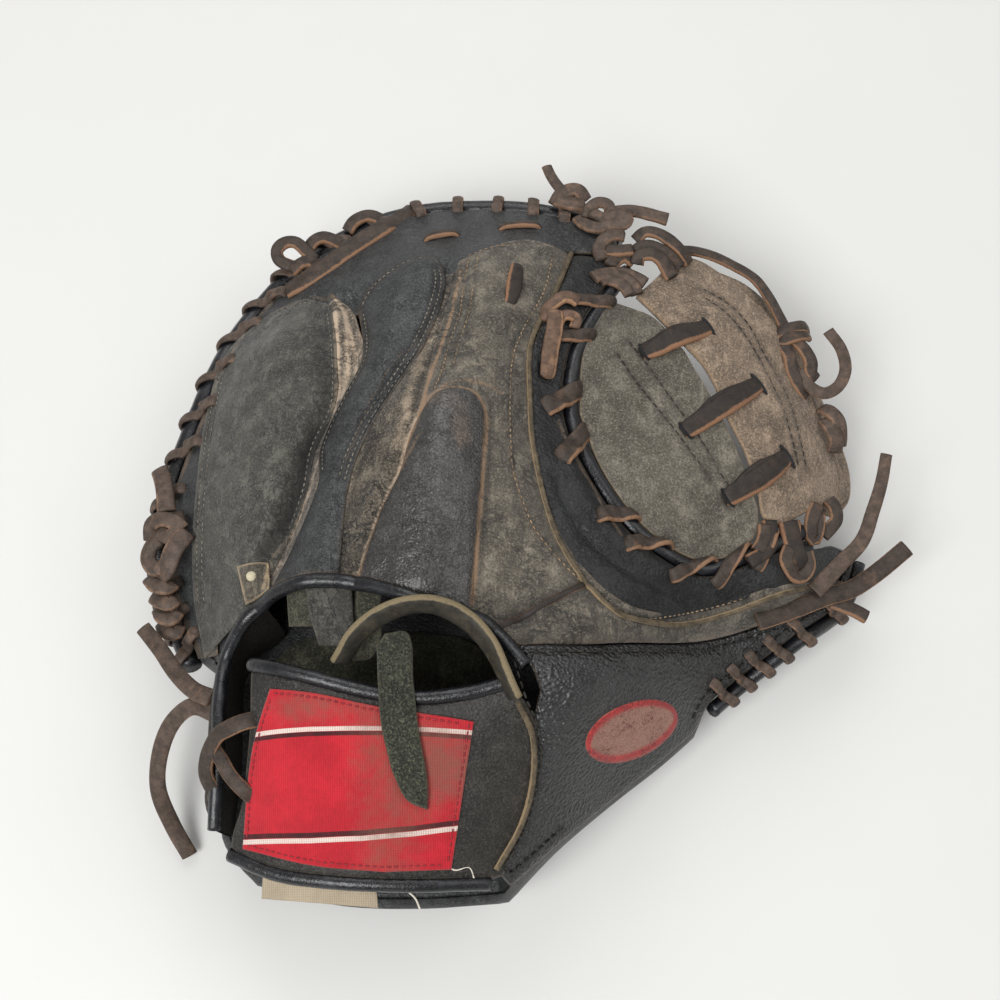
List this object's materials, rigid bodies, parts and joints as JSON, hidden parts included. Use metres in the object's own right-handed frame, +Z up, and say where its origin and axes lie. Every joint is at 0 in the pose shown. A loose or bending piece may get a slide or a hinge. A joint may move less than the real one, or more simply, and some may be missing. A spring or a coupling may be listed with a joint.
{
  "type": "catcher mitt",
  "caption": "Worn leather catcher mitt lying palm down: padded C-shaped palm, laced rim and web, wrist strap with a woven patch and an open back.",
  "frame": {"origin": "on the surface under the middle of the mitt's box, free lace ends left out", "axes": "+Z up from the surface, +Y towards the finger tips, +X towards the web and the thumb"},
  "size_m": [0.3187, 0.3198, 0.108],
  "materials": {
    "black_leather": "worn semi-gloss",
    "olive_leather": "distressed matte",
    "brown_leather": "scuffed nubuck",
    "web_suede": "matte nubuck",
    "piping": "glossy rolled leather",
    "lace": "dark top with tan raw edges",
    "raw_edge": "raw cut edge",
    "green_suede": "fuzzy suede",
    "red_cloth": "woven twill, soiled",
    "red_leather": "pressed, rubbed through to brown",
    "lining": "soft matte",
    "white_cloth": "plain woven tape"
  },
  "bodies": {
    "root": {"palm": "black_leather", "wrist_strap": "black_leather", "crotch_gusset": "black_leather", "pinky_panel": "olive_leather", "finger_strip": "black_leather", "centre_panel": "black_leather", "index_panel": "brown_leather", "gap_panel": "brown_leather", "middle_panel": "brown_leather", "crotch_panel": "brown_leather", "rim_band": "black_leather", "thumb_shell": "black_leather", "web_inner_panel": "web_suede", "web_outer_panel": "web_suede", "web_back_layer": "web_suede", "strap_patch": "red_cloth", "oval_patch": "red_leather", "pull_tab": "green_suede", "pinky_tab": "green_suede", "heel_wall": "black_leather", "hand_lining": "lining", "finger_stall": "lining", "cloth_label": "white_cloth", "rim_binding": "piping", "rim_lace": "lace", "crotch_binding": "piping", "crotch_lace": "lace", "thumb_binding": "piping", "thumb_lace": "lace", "opening_binding": "piping", "strap_binding_top": "piping", "strap_binding_bottom": "piping", "crotch_welt": "raw_edge", "strap_welt": "raw_edge", "adjust_strap": "green_suede", "strap_lace": "lace", "band_lace_1": "lace", "band_lace_2": "lace", "index_lace": "lace", "folded_lace": "lace", "web_top_lace": "lace", "web_lace_1": "lace", "web_lace_2": "lace", "web_lace_3": "lace", "rim_knot_upper": "lace", "rim_knot_lower": "lace", "top_knot": "lace", "web_knot": "lace", "tip_knot": "lace", "tail_left_upper": "lace", "tail_left_lower": "lace", "tail_right_upper": "lace", "tail_right_lower": "lace", "tail_web": "lace", "tail_top": "lace"}
  },
  "joints": []
}
